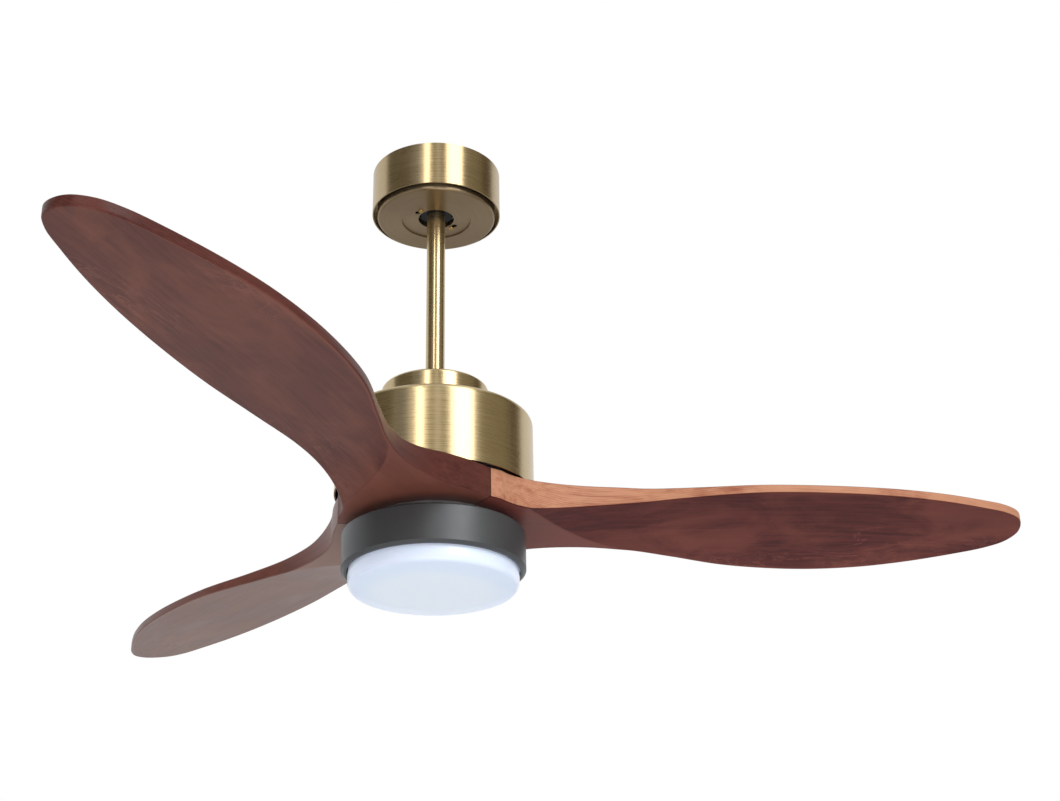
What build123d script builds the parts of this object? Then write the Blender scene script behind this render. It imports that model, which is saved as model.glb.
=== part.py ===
from build123d import *
import os
from math import cos, radians, sin, tan

# Ceiling fan with three carved wooden blades, a downrod on a hanger ball and a round LED light.
# Millimetres. The origin is the middle of the ceiling bracket's top face, which lies against
# the ceiling; +Z is up and blade_1 points along +X.

# ---------------------------------------------------------------- overall sizes
sweep_radius = 660.0            # axis to blade tip: a 52 inch fan
blade_count = 3
housing_top = -320.0            # the motor housing hangs this far below the ceiling
rod_diameter = 21.0
rod_wall = 1.5
hub_thickness = 32.8

# ---------------------------------------------------------------- ceiling bracket and hanger ball
bracket_length = 112.0
bracket_width = 46.0
bracket_sheet = 2.5
bracket_slot_spacing = 84.0
bracket_slot_length = 18.0
bracket_slot_width = 5.5
leg_inside = 34.5               # middle of the bracket to the inner face of a leg
seat_half_width = 31.0
seat_sheet = 3.0
seat_top = -47.0
ball_radius = 24.0
ball_centre = -38.0
ball_half_height = 16.0
ball_clearance = 0.3
ball_pin_radius = 2.5
ball_pin_length = 40.0
rod_above_ball = 3.0

# ---------------------------------------------------------------- canopy
canopy_radius = 73.9
canopy_sheet = 1.2
canopy_top = -0.8
canopy_bottom = -54.1
ledge_top = -38.8               # inner ledge of the shell, which sits on the dish
ledge_overlap = 7.0             # how far the ledge reaches in over the dish's rim
dish_setback = 5.9              # canopy shell's outside to the dish's
dish_drop = 5.0                 # canopy shell's lower edge down to the dish's underside
dish_edge_round = 3.0
recess_radius = 40.0
recess_depth = 1.8
rod_opening_radius = 20.5
keyhole_radius = 25.5           # pitch radius of the two canopy screws
keyhole_bearing = 42.0          # degrees from +X of the first one
keyhole_turn = 13.0             # degrees from the screw to the big end of its keyhole
keyhole_big_radius = 2.9
canopy_screw_radius = 1.5
canopy_head_radius = 2.8
canopy_head_height = 1.8

# ---------------------------------------------------------------- coupling and its cover
cover_radius = 59.0
cover_height = 40.5
cover_sheet = 1.2
cover_edge_round = 4.0
coupling_wall = 5.5
coupling_height = 34.0
coupling_flange_radius = 34.0
coupling_flange = 4.0
coupling_pin_radius = 3.0
coupling_pin_drop = 14.0        # top of the collar down to the pin
set_screw_drop = 6.0
rod_end_gap = 6.0               # rod end to the motor housing

# ---------------------------------------------------------------- motor housing and shaft
housing_radius = 107.3
housing_height = 85.8
housing_sheet = 1.5
housing_shoulder = 7.0
housing_to_hub = 1.0
shaft_radius = 8.5
shaft_bore = 6.0
shaft_flange_radius = 28.0
shaft_flange = 4.0
motor_bolt_circle = 21.5
motor_bolt_radius = 2.0

# ---------------------------------------------------------------- bearings
race_width = 10.0
race_radius = 17.5
race_thickness = 3.5
ball_pitch = 13.0
bearing_ball_radius = 2.38
bearing_ball_count = 9
running_clearance = 0.05
fit_clearance = 0.02

# ---------------------------------------------------------------- motor
rotor_gap = 19.8                # rotor's outside to the inner face of the housing
rotor_wall = 3.5
rotor_plate = 3.0
rotor_drop = 18.0               # housing's top down to the rotor's
rotor_boss_height = 14.8        # wooden hub's top up to the rotor base's upper face
rotor_base_plate = 4.0
magnet_count = 16
magnet_thickness = 3.5
air_gap = 1.18
stator_back_radius = 42.0
stator_stack = 32.0
tooth_count = 12
tooth_width = 10.0
shoe_thickness = 6.0
coil_build = 4.2
rotor_boss_radius = 74.0
rotor_boss_bore = 36.0
control_board_radius = 66.0
control_board_drop = 2.6        # shaft flange down to the board
control_board_sheet = 1.6

# ---------------------------------------------------------------- blades
hub_bore = 24.0
hub_corner = 51.3               # distance along the blade to the corners of its root wedge
rear_flat = 14.5                # flat stretch of the rear edge, square to the seam
face_slope = 0.165              # how steeply the carved faces fall from rear edge to front edge
blank_rise = 0.02               # how the top of the blank climbs towards the tip
blade_plate_radius = 74.0
blade_plate_sheet = 4.0
blade_bolt_radius = 2.5
blade_bolt_head_radius = 4.6
blade_bolt_head = 3.0
blade_bolt_places = ((48.0, -27.0), (48.0, 27.0), (66.0, 0.0))

# Plan view of one blade along +X: (distance from the axis, offset to each side). It is drawn for
# a tip drawn_radius from the axis, and the blade stretches it to reach sweep_radius.
drawn_radius = 660.0
drawn_corner = 51.3
tip_offset = 14.0
front_edge = ((82, 76), (115, 60), (165, 52), (215, 57), (270, 74), (340, 96),
              (420, 104), (490, 99), (545, 86), (600, 66), (634, 50), (652, 35))
rear_edge = ((98, -58.5), (130, -49), (170, -43.5), (215, -44), (280, -53), (350, -61),
             (420, -61.5), (490, -57), (550, -48), (600, -36), (632, -26), (652, -12))
# Side view along the blade's middle line, heights above the hub's underside.
scoop_line = ((40, -30), (70, -17), (126, -3), (190, 7), (300, 14), (450, 18), (700, 22))
crown_line = ((40, 66), (90, 48), (158, 31.7), (200, 27.5), (260, 25), (356, 25.6),
              (450, 27.3), (580, 30.5), (700, 32.5))

# ---------------------------------------------------------------- light
pan_radius = 97.6
pan_height = 39.6
pan_to_hub = 11.2
pan_sheet = 1.6
pan_edge_round = 2.5
lip_drop = 2.8
lip_width = 6.2
carrier_radius = 26.0
carrier_height = 3.0
nut_radius = 13.0
nut_height = 6.0
diffuser_gap = 0.7              # lip's inside to the diffuser
diffuser_edge_inset = 4.0
diffuser_edge_drop = 20.0       # pan's bottom down to the diffuser's lower edge
diffuser_drop = 24.1            # pan's bottom down to the middle of the diffuser
diffuser_wall = 2.2
diffuser_rise = 6.4             # how far the diffuser's wall reaches up into the pan
lug_count = 3
lug_arc = 20.0
lug_height = 2.0
lug_reach = 3.4
tab_height = 2.0
tab_gap = 0.5
tab_arc = 30.0
led_board_inset = 19.6          # pan's outside to the edge of the board
led_board_drop = 15.6           # pan's top down to the board
led_board_sheet = 1.6
led_inner_ring = 22.0
led_outer_inset = 17.0          # board's edge to the middle of the outer ring of chips
led_counts = (8, 14, 20)        # chips in each ring, from the inner one out
led_size = 5.0
led_height = 1.2
post_radius = 3.5
post_inset = 8.0                # board's edge to the middle of a post
post_count = 3

# ---------------------------------------------------------------- values worked out from these
rod_radius = rod_diameter / 2
ledge_inner_radius = canopy_radius - dish_setback - ledge_overlap
dish_radius = canopy_radius - dish_setback
dish_bottom = canopy_bottom - dish_drop
cover_top = housing_top + cover_height
housing_bottom = housing_top - housing_height
hub_top = housing_bottom - housing_to_hub
hub_underside = hub_top - hub_thickness
rotor_radius = housing_radius - housing_sheet - rotor_gap
rotor_top = housing_top - rotor_drop
rotor_base_top = hub_top + rotor_boss_height
magnet_outer_radius = rotor_radius - rotor_wall - fit_clearance
stator_radius = magnet_outer_radius - magnet_thickness - air_gap
pan_top = hub_underside - pan_to_hub
pan_bottom = pan_top - pan_height
lip_inner_radius = pan_radius - lip_width
diffuser_radius = lip_inner_radius - diffuser_gap
diffuser_edge_radius = diffuser_radius - diffuser_edge_inset
diffuser_edge = pan_bottom - diffuser_edge_drop
diffuser_bottom = pan_bottom - diffuser_drop
diffuser_top = pan_bottom + diffuser_rise
led_board_radius = pan_radius - led_board_inset
led_board_top = pan_top - led_board_drop
post_circle = led_board_radius - post_inset
coupling_bottom = housing_top
coupling_top = coupling_bottom + coupling_height
rod_top = ball_centre + ball_half_height + rod_above_ball
rod_bottom = housing_top + rod_end_gap
housing_floor = housing_top - housing_sheet
shaft_flange_bottom = housing_floor - shaft_flange
plate_bottom = hub_underside - blade_plate_sheet
wedge_half_angle = 180.0 / blade_count
corner_offset = hub_corner * tan(radians(wedge_half_angle))
seat_bottom = seat_top - seat_sheet
recess_face = dish_bottom + recess_depth

BASE = (Align.CENTER, Align.CENTER, Align.MIN)


def disc(radius, bottom, top):
    return Pos(0, 0, bottom) * Cylinder(radius, top - bottom, align=BASE)


def ring(outer, inner, bottom, top):
    return disc(outer, bottom, top) - disc(inner, bottom - 1, top + 1)


def block(length, width, bottom, top, x=0.0, y=0.0):
    return Pos(x, y, bottom) * Box(length, width, top - bottom, align=BASE)


def cross_pin(radius, length, height, turn=0.0):
    """A level pin through the axis, along +X turned by the given angle."""
    pin = Pos(0, 0, height) * Rot(0, 90, 0) * Cylinder(radius, length)
    return Rot(0, 0, turn) * pin


def around(shape, count, start=0.0):
    return [Rot(0, 0, start + 360.0 / count * i) * shape for i in range(count)]


def turned(*points):
    """A solid of revolution from (radius, height) points."""
    outline = Polyline(*[(r, 0, z) for r, z in points], close=True)
    return revolve(make_face(outline), Axis.Z)


def arc_band(outer, inner, bottom, top, middle, width):
    """A piece of a ring, as wide as the given angle about its middle bearing."""
    reach = outer * 1.5
    half = radians(width / 2)
    corner = (reach * cos(half), reach * sin(half))
    wedge = make_face(Polyline((0, 0), corner, (corner[0], -corner[1]), close=True))
    sector = Pos(0, 0, bottom - 1) * extrude(wedge, top - bottom + 2)
    return ring(outer, inner, bottom, top) & (Rot(0, 0, middle) * sector)


def save(name, *shapes):
    solids = [solid for shape in shapes for solid in shape.solids()]
    whole = solids[0] if len(solids) == 1 else Compound(solids)
    whole.label = name
    export_step(whole, f"parts/{name}.step")


# ---------------------------------------------------------------- ceiling bracket
def ceiling_bracket():
    plate = block(bracket_length, bracket_width, -bracket_sheet, 0)
    plate = fillet(plate.edges().filter_by(Axis.Z), 6)
    slot = SlotOverall(bracket_slot_length, bracket_slot_width)
    for side in (-1, 1):
        place = Pos(side * bracket_slot_spacing / 2, 0, -bracket_sheet - 1)
        plate -= place * extrude(slot, bracket_sheet + 2)
    leg_outside = leg_inside + bracket_sheet
    for side in (-1, 1):
        middle = side * (leg_inside + bracket_sheet / 2)
        plate += block(bracket_sheet, bracket_width, seat_bottom, -bracket_sheet / 2, x=middle)
    seat = block(2 * leg_outside, 2 * seat_half_width, seat_bottom, seat_top)
    seat = fillet(seat.edges().filter_by(Axis.Z), 5)
    plate += seat
    plate -= Pos(0, 0, ball_centre) * Sphere(ball_radius + ball_clearance)
    for bearing in (keyhole_bearing, keyhole_bearing + 180):
        hole = Pos(keyhole_radius, 0, seat_bottom - 1) * Cylinder(
            canopy_screw_radius + fit_clearance, seat_sheet + 2, align=BASE)
        plate -= Rot(0, 0, bearing) * hole
    return plate


def hanger_ball():
    ball = Pos(0, 0, ball_centre) * Sphere(ball_radius)
    ball &= disc(ball_radius + 1, ball_centre - ball_half_height, ball_centre + ball_half_height)
    reach = ball_radius + 1
    ball -= disc(rod_radius + running_clearance, ball_centre - reach, ball_centre + reach)
    return ball - cross_pin(ball_pin_radius + running_clearance, 4 * ball_radius, ball_centre)


def downrod():
    rod = ring(rod_radius, rod_radius - rod_wall, rod_bottom, rod_top)
    rod -= cross_pin(ball_pin_radius + running_clearance, 4 * rod_radius, ball_centre)
    rod -= cross_pin(coupling_pin_radius + fit_clearance, 4 * rod_radius,
                     coupling_top - coupling_pin_drop, 90)
    return rod


# ---------------------------------------------------------------- canopy
def canopy_shell():
    shell = ring(canopy_radius, canopy_radius - canopy_sheet, canopy_bottom, canopy_top)
    ledge = ring(canopy_radius - canopy_sheet / 2, ledge_inner_radius, ledge_top - canopy_sheet, ledge_top)
    return shell + ledge


def keyholes(bottom, top):
    """The two keyholes of the dish: a slot along the turn with a big end."""
    cutters = []
    for bearing in (keyhole_bearing, keyhole_bearing + 180):
        narrow = arc_band(keyhole_radius + canopy_screw_radius + 0.2,
                          keyhole_radius - canopy_screw_radius - 0.2, bottom, top,
                          bearing - keyhole_turn / 2, keyhole_turn)
        hole = Pos(keyhole_radius, 0, bottom)
        small = hole * Cylinder(canopy_screw_radius + 0.2, top - bottom, align=BASE)
        big = hole * Cylinder(keyhole_big_radius, top - bottom, align=BASE)
        cutters += [narrow, Rot(0, 0, bearing) * small, Rot(0, 0, bearing - keyhole_turn) * big]
    return cutters


def canopy_dish():
    rim_top = ledge_top - canopy_sheet
    dish = disc(dish_radius, dish_bottom, rim_top)
    dish = fillet(dish.edges().group_by(Axis.Z)[0], dish_edge_round)
    floor = recess_face + canopy_sheet
    dish -= disc(dish_radius - canopy_sheet, dish_bottom + canopy_sheet, rim_top + 1)
    dish += disc(recess_radius + canopy_sheet, dish_bottom + canopy_sheet / 2, floor)
    recess = disc(recess_radius, dish_bottom - 1, recess_face)
    dish -= recess
    dish -= disc(rod_opening_radius, dish_bottom - 1, floor + 1)
    for cutter in keyholes(dish_bottom - 1, floor + 1):
        dish -= cutter
    return dish


def canopy_screw():
    shank = disc(canopy_screw_radius, recess_face, seat_top + 2)
    head = disc(canopy_head_radius, recess_face - canopy_head_height, recess_face)
    head = fillet(head.edges().group_by(Axis.Z)[0], canopy_head_height * 0.6)
    slot = block(0.8, 3 * canopy_head_radius, recess_face - canopy_head_height - 1,
                 recess_face - canopy_head_height * 0.5)
    cross = Rot(0, 0, 90) * slot
    return Pos(keyhole_radius, 0, 0) * (shank + head - slot - cross)


def receiver_module():
    face = leg_inside + bracket_sheet
    length, width, height = 17.0, 40.0, 26.0
    case = block(length, width, ledge_top + 4, ledge_top + 4 + height, x=face + length / 2)
    outer = case.edges().filter_by(Axis.Z).group_by(Axis.X)[-1]
    return fillet(outer, 2.5)


def terminal_block():
    face = leg_inside + bracket_sheet
    length, width, height = 14.0, 30.0, 13.0
    body = block(length, width, -30, -30 + height, x=-face - length / 2)
    for place in (-10, 0, 10):
        well = Pos(-face - length / 2, place, -30 + height - 6) * Cylinder(2.4, 10, align=BASE)
        body -= well
    return body


# ---------------------------------------------------------------- coupling and cover
def rod_coupling():
    collar = disc(rod_radius + coupling_wall, coupling_bottom, coupling_top)
    flange = disc(coupling_flange_radius, coupling_bottom, coupling_bottom + coupling_flange)
    body = collar + flange
    body -= disc(rod_radius + fit_clearance, coupling_bottom - 1, coupling_top + 1)
    body -= cross_pin(coupling_pin_radius + fit_clearance, 8 * rod_radius,
                      coupling_top - coupling_pin_drop, 90)
    for side in (0, 180):
        tap = Pos(rod_radius + coupling_wall, 0, coupling_top - set_screw_drop)
        tap *= Rot(0, 90, 0) * Cylinder(2.5 + fit_clearance, 2 * coupling_wall + 2)
        body -= Rot(0, 0, side) * tap
    for hole in motor_bolt_holes(coupling_bottom - 1, coupling_bottom + coupling_flange + 1):
        body -= hole
    return body


def motor_bolt_holes(bottom, top):
    hole = Pos(motor_bolt_circle, 0, bottom) * Cylinder(
        motor_bolt_radius + fit_clearance, top - bottom, align=BASE)
    return around(hole, 4, 45)


def motor_bolts():
    top = coupling_bottom + coupling_flange
    shank = Pos(motor_bolt_circle, 0, shaft_flange_bottom) * Cylinder(
        motor_bolt_radius, top - shaft_flange_bottom, align=BASE)
    head = Pos(motor_bolt_circle, 0, top) * Cylinder(motor_bolt_radius * 1.75, 3, align=BASE)
    socket = Pos(motor_bolt_circle, 0, top + 1.4) * extrude(RegularPolygon(1.6, 6), 3)
    return around(shank + head - socket, 4, 45)


def coupling_pin():
    length = 2 * (rod_radius + coupling_wall) + 9
    pin = cross_pin(coupling_pin_radius, length, coupling_top - coupling_pin_drop, 90)
    head = Pos(0, -length / 2, coupling_top - coupling_pin_drop)
    pin += head * Rot(90, 0, 0) * Cylinder(coupling_pin_radius + 2, 2)
    clip_hole = Pos(0, length / 2 - 2.6, coupling_top - coupling_pin_drop) * Cylinder(1.05, 20)
    return pin - clip_hole


def coupling_clip():
    """The split pin that keeps the coupling pin in, with its bent-over legs."""
    length = 2 * (rod_radius + coupling_wall) + 9
    centre = (0, length / 2 - 2.6, coupling_top - coupling_pin_drop)
    stem = Pos(*centre) * Cylinder(1.0, 4 * coupling_pin_radius)
    eye = Pos(centre[0], centre[1], centre[2] + 2 * coupling_pin_radius + 1.8)
    return stem + eye * Rot(90, 0, 0) * Torus(2.2, 0.8)


def coupling_set_screws():
    grip = coupling_wall + 3
    screw = Pos(rod_radius + grip / 2, 0, coupling_top - set_screw_drop)
    screw *= Rot(0, 90, 0) * Cylinder(2.5, grip)
    socket = Pos(rod_radius + grip, 0, coupling_top - set_screw_drop)
    socket *= Rot(0, 90, 0) * extrude(RegularPolygon(1.4, 6), 4, both=True)
    return around(screw - socket, 2)


def cup(radius, top, bottom, sheet, edge_round, hole):
    """A turned cover, closed at the top, with a rounded upper edge and a middle hole."""
    outside = disc(radius, bottom, top)
    outside = fillet(outside.edges().group_by(Axis.Z)[-1], edge_round)
    inside = disc(radius - sheet, bottom - 5, top - sheet)
    inside = fillet(inside.edges().group_by(Axis.Z)[-1], max(edge_round - sheet, 0.4))
    return outside - inside - disc(hole, bottom - 1, top + 1)


def coupling_cover():
    return cup(cover_radius, cover_top, housing_top, cover_sheet, cover_edge_round, rod_radius + 1.4)


def cover_grommet():
    collar = ring(rod_radius + 1.3, rod_radius + fit_clearance, cover_top - 3, cover_top + 0.6)
    lip = ring(rod_radius + 3.2, rod_radius + fit_clearance, cover_top - 3, cover_top - cover_sheet)
    return collar + lip


# ---------------------------------------------------------------- motor
def motor_housing():
    body = cup(housing_radius, housing_top, housing_bottom, housing_sheet, housing_shoulder, shaft_radius)
    for hole in motor_bolt_holes(housing_floor - 1, housing_top + 1):
        body -= hole
    return body


def stator_shaft():
    carrier_top = pan_top + carrier_height
    shaft = disc(shaft_radius, pan_top - pan_sheet - nut_height - 4, housing_floor)
    shaft += disc(shaft_flange_radius, shaft_flange_bottom, housing_floor)
    shaft += disc(carrier_radius, pan_top, carrier_top)
    shaft -= disc(shaft_bore, pan_bottom - 50, housing_top + 1)
    for hole in motor_bolt_holes(shaft_flange_bottom - 1, housing_floor + 1):
        shaft -= hole
    return shaft


def bearing(top):
    """Inner race, outer race and balls of one bearing whose upper face is at the given height."""
    bottom = top - race_width
    middle = (top + bottom) / 2
    track = Pos(0, 0, middle) * Torus(ball_pitch, bearing_ball_radius + running_clearance)
    inner = ring(shaft_radius + race_thickness, shaft_radius + fit_clearance, bottom, top) - track
    outer = ring(race_radius, race_radius - race_thickness, bottom, top) - track
    ball = Pos(ball_pitch, 0, middle) * Sphere(bearing_ball_radius)
    return inner, outer, around(ball, bearing_ball_count)


upper_bearing_top = rotor_top + 2.0
lower_bearing_top = rotor_base_top + 2.0


def bearing_cup(top, wall=4.0):
    """The bored boss that holds a bearing, closed above by a narrow shoulder."""
    outer = race_radius + wall
    boss = disc(outer, top - race_width, top + 2)
    boss -= disc(race_radius + fit_clearance, top - race_width - 1, top)
    return boss - disc(race_radius - race_thickness / 2, top - 1, top + 3)


def rotor_can():
    skirt = ring(rotor_radius, rotor_radius - rotor_wall, rotor_base_top, rotor_top)
    lid = ring(rotor_radius, race_radius + 2, rotor_top - rotor_plate, rotor_top)
    return skirt + lid + bearing_cup(upper_bearing_top)


def rotor_magnets():
    outer = magnet_outer_radius
    half_height = stator_stack / 2 + 2
    bottom, top = stator_middle() - half_height, stator_middle() + half_height
    magnet = arc_band(outer, outer - magnet_thickness, bottom, top, 0, 360.0 / magnet_count - 2)
    return around(magnet, magnet_count)


def rotor_base():
    plate = ring(rotor_radius, race_radius + 2, rotor_base_top - rotor_base_plate, rotor_base_top)
    boss = ring(rotor_boss_radius, rotor_boss_bore, hub_top, rotor_base_top)
    base = plate + boss + bearing_cup(lower_bearing_top)
    for hole in blade_bolt_holes(hub_top - 1, rotor_base_top + 1):
        base -= hole
    return base


def stator_middle():
    return (rotor_top - rotor_plate + rotor_base_top) / 2


def stator_core():
    bottom = stator_middle() - stator_stack / 2
    top = stator_middle() + stator_stack / 2
    core = disc(stator_back_radius, bottom, top)
    tooth_length = stator_radius - shoe_thickness / 2
    tooth = Pos(tooth_length / 2, 0, bottom) * Box(tooth_length, tooth_width, top - bottom, align=BASE)
    shoe = arc_band(stator_radius, stator_radius - shoe_thickness, bottom, top,
                    0, 360.0 / tooth_count - 5)
    for part in around(tooth + shoe, tooth_count):
        core += part
    return core - disc(shaft_radius + fit_clearance, bottom - 1, top + 1)


def stator_windings():
    half = stator_stack / 2
    inside_radius = stator_back_radius + 4
    outside_radius = stator_radius - shoe_thickness - 2
    length = outside_radius - inside_radius
    middle = Pos((inside_radius + outside_radius) / 2, 0, stator_middle())
    outer = Box(length, tooth_width + 2 * coil_build, 2 * half + 2 * coil_build)
    outer = fillet(outer.edges().filter_by(Axis.X), coil_build * 0.8)
    hole = Box(length + 2, tooth_width + 0.1, 2 * half + 0.1)
    return around(middle * (outer - hole), tooth_count)


def control_board():
    top = shaft_flange_bottom - control_board_drop
    bottom = top - control_board_sheet
    board = ring(control_board_radius, shaft_flange_radius + 5, bottom, top)
    for place in (20, 75, 140, 205, 290):
        chip = Pos(control_board_radius - 17, 0, bottom - 3) * Box(10, 14, 3, align=BASE)
        board += Rot(0, 0, place) * chip
    return board


def control_posts():
    top = shaft_flange_bottom - control_board_drop
    post = Pos(control_board_radius - 6, 0, top) * Cylinder(post_radius, housing_floor - top, align=BASE)
    return around(post, post_count, 50)


# ---------------------------------------------------------------- blades
def stretched(line):
    """A line of (distance from the axis, other) points, lengthened to suit the blade."""
    ratio = (sweep_radius - hub_corner) / (drawn_radius - drawn_corner)
    return [(hub_corner + (along - drawn_corner) * ratio, other) for along, other in line]


def side_profile(line, end_height):
    """A face in the XZ plane between a smooth line along the blade and a level far from it."""
    line = stretched(line)
    first, last = line[0], line[-1]
    edges = [Spline(*[(x, 0, z) for x, z in line]),
             Line((last[0], 0, last[1]), (last[0], 0, end_height)),
             Line((last[0], 0, end_height), (first[0], 0, end_height)),
             Line((first[0], 0, end_height), (first[0], 0, first[1]))]
    return make_face(edges)


def carved_away(line, end_height):
    """The wood cut away under or over the blade by one sloping, smoothly curved surface."""
    reach = 150.0
    start = Pos(0, -reach, reach * face_slope) * side_profile(line, end_height)
    return Solid.extrude(start.face(), Vector(0, 2 * reach, -2 * reach * face_slope))


def blade_blank():
    """The plan outline of a blade with its root wedge, cut from a board."""
    front_corner = (hub_corner, corner_offset)
    rear_corner = (hub_corner, -corner_offset)
    square = radians(90 - wedge_half_angle)
    flat_end = (hub_corner + rear_flat * cos(square), rear_flat * sin(square) - corner_offset)
    tip_point = (sweep_radius, tip_offset)
    front = Spline(front_corner, *stretched(front_edge), tip_point,
                   tangents=[(2, -1.1), (0, -1)], tangent_scalars=(1, 1))
    rear = Spline(tip_point, *reversed(stretched(rear_edge)), flat_end,
                  tangents=[(0, -1), (-1, -1)], tangent_scalars=(1, 1))
    outline = make_face([front, rear, Line(flat_end, rear_corner), Line(rear_corner, (0, 0)),
                         Line((0, 0), front_corner)])
    board = extrude(outline, hub_thickness + blank_rise * sweep_radius)
    level_end = hub_corner * 2
    end = sweep_radius + 20
    rise = hub_thickness + blank_rise * (end - level_end)
    above = make_face(Polyline((-1, 0, hub_thickness), (level_end, 0, hub_thickness), (end, 0, rise),
                               (end, 0, 90), (-1, 0, 90), close=True))
    return board - extrude(above, 200, both=True)


def blade_bolt_holes(bottom, top):
    holes = []
    for along, across in blade_bolt_places:
        hole = Pos(along, across, bottom) * Cylinder(
            blade_bolt_radius + fit_clearance, top - bottom, align=BASE)
        holes += around(hole, blade_count)
    return holes


def blade():
    body = blade_blank()
    body -= carved_away(scoop_line, -90)
    body -= carved_away(crown_line, 140)
    body = Pos(0, 0, hub_underside) * body
    body -= disc(hub_bore, hub_underside - 1, hub_top + 1)
    for hole in blade_bolt_holes(hub_underside - 1, hub_top + 1):
        body -= hole
    return body


def blade_plate():
    plate = ring(blade_plate_radius, hub_bore + 8, plate_bottom, hub_underside)
    for hole in blade_bolt_holes(plate_bottom - 1, hub_underside + 1):
        plate -= hole
    return plate


def blade_bolts():
    bolts = []
    for along, across in blade_bolt_places:
        shank = Pos(along, across, plate_bottom) * Cylinder(
            blade_bolt_radius, rotor_base_top - plate_bottom, align=BASE)
        head = Pos(along, across, plate_bottom - blade_bolt_head) * Cylinder(
            blade_bolt_head_radius, blade_bolt_head, align=BASE)
        socket = Pos(along, across, plate_bottom - blade_bolt_head - 1)
        socket *= extrude(RegularPolygon(2.3, 6), 2.6)
        bolts += around(shank + head - socket, blade_count)
    return bolts


# ---------------------------------------------------------------- light
def light_pan():
    wall = disc(pan_radius, pan_bottom, pan_top)
    wall = fillet(wall.edges().group_by(Axis.Z)[-1], pan_edge_round)
    lip = turned((pan_radius, pan_bottom), (pan_radius - pan_sheet, pan_bottom),
                 (lip_inner_radius, pan_bottom - lip_drop + 1.2),
                 (lip_inner_radius, pan_bottom - lip_drop), (pan_radius - 3.4, pan_bottom - lip_drop))
    wall -= disc(pan_radius - pan_sheet, pan_bottom - 1, pan_top - pan_sheet)
    wall -= disc(shaft_radius + fit_clearance, pan_bottom, pan_top + 1)
    tab_top = diffuser_top - lug_height - tab_gap
    tab = arc_band(pan_radius - pan_sheet / 2, diffuser_radius + 1.4,
                   tab_top - tab_height, tab_top, 0, tab_arc)
    body = wall + lip
    for part in around(tab, lug_count):
        body += part
    return body


def light_nut():
    top = pan_top - pan_sheet
    nut = Pos(0, 0, top - nut_height) * extrude(RegularPolygon(nut_radius, 6), nut_height)
    return nut - disc(shaft_radius + fit_clearance, top - nut_height - 1, top + 1)


def diffuser():
    bulge = (diffuser_radius - 0.3, (diffuser_edge + pan_bottom) / 2)
    wall_start = (diffuser_radius - 1.0, 0, diffuser_top)
    side = Spline((diffuser_radius - 1.0, 0, pan_bottom + 1), (bulge[0], 0, bulge[1]),
                  (diffuser_edge_radius, 0, diffuser_edge), tangents=[(0.05, 0, -1), (-1, 0, -0.55)])
    floor = Spline((diffuser_edge_radius, 0, diffuser_edge), (0, 0, diffuser_bottom),
                   tangents=[(-1, 0, -0.22), (-1, 0, 0)])
    outline = [Line(wall_start, (diffuser_radius - 1.0, 0, pan_bottom + 1)), side, floor,
               Line((0, 0, diffuser_bottom), (0, 0, diffuser_top)), Line((0, 0, diffuser_top), wall_start)]
    outside = revolve(make_face(outline), Axis.Z)
    scale_in = (diffuser_radius - 1.0 - diffuser_wall) / (diffuser_radius - 1.0)
    inside = Pos(0, 0, diffuser_top * (1 - scale_in) + 0.02) * scale(outside, scale_in)
    top_cut = disc(diffuser_radius - 1.0 - diffuser_wall, diffuser_top - 1, diffuser_top + 1)
    shell = outside - inside - top_cut
    for middle in range(lug_count):
        lug = arc_band(diffuser_radius - 1.0 + lug_reach, diffuser_radius - 2.0,
                       diffuser_top - lug_height, diffuser_top, 360 / lug_count * middle, lug_arc)
        shell += lug
    return shell


def led_board():
    board = disc(led_board_radius, led_board_top - led_board_sheet, led_board_top)
    hole = Pos(post_circle, 0, led_board_top - 5) * Cylinder(1.52, 10, align=BASE)
    for cutter in around(hole, post_count, 30):
        board -= cutter
    return board


def led_chips():
    face = led_board_top - led_board_sheet
    chips = []
    step = (led_board_radius - led_outer_inset - led_inner_ring) / (len(led_counts) - 1)
    for number, count in enumerate(led_counts):
        chip = Pos(led_inner_ring + step * number, 0, face - led_height)
        chip *= Box(led_size, led_size, led_height, align=BASE)
        chips += around(chip, count, 8)
    return chips


def led_posts():
    post = Pos(post_circle, 0, led_board_top) * Cylinder(
        post_radius, pan_top - pan_sheet - led_board_top, align=BASE)
    post -= Pos(post_circle, 0, led_board_top - 1) * Cylinder(1.52, 7, align=BASE)
    return around(post, post_count, 30)


def led_screws():
    face = led_board_top - led_board_sheet
    shank = Pos(post_circle, 0, face) * Cylinder(1.5, 6, align=BASE)
    head = Pos(post_circle, 0, face - 1.6) * Cylinder(2.8, 1.6, align=BASE)
    return around(shank + head, post_count, 30)


def led_driver():
    top = pan_top - pan_sheet
    case = block(44, 34, top - 9.5, top, x=42)
    return fillet(case.edges().group_by(Axis.Z)[0], 1.5)


# ---------------------------------------------------------------- write every piece
os.makedirs("parts", exist_ok=True)

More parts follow.
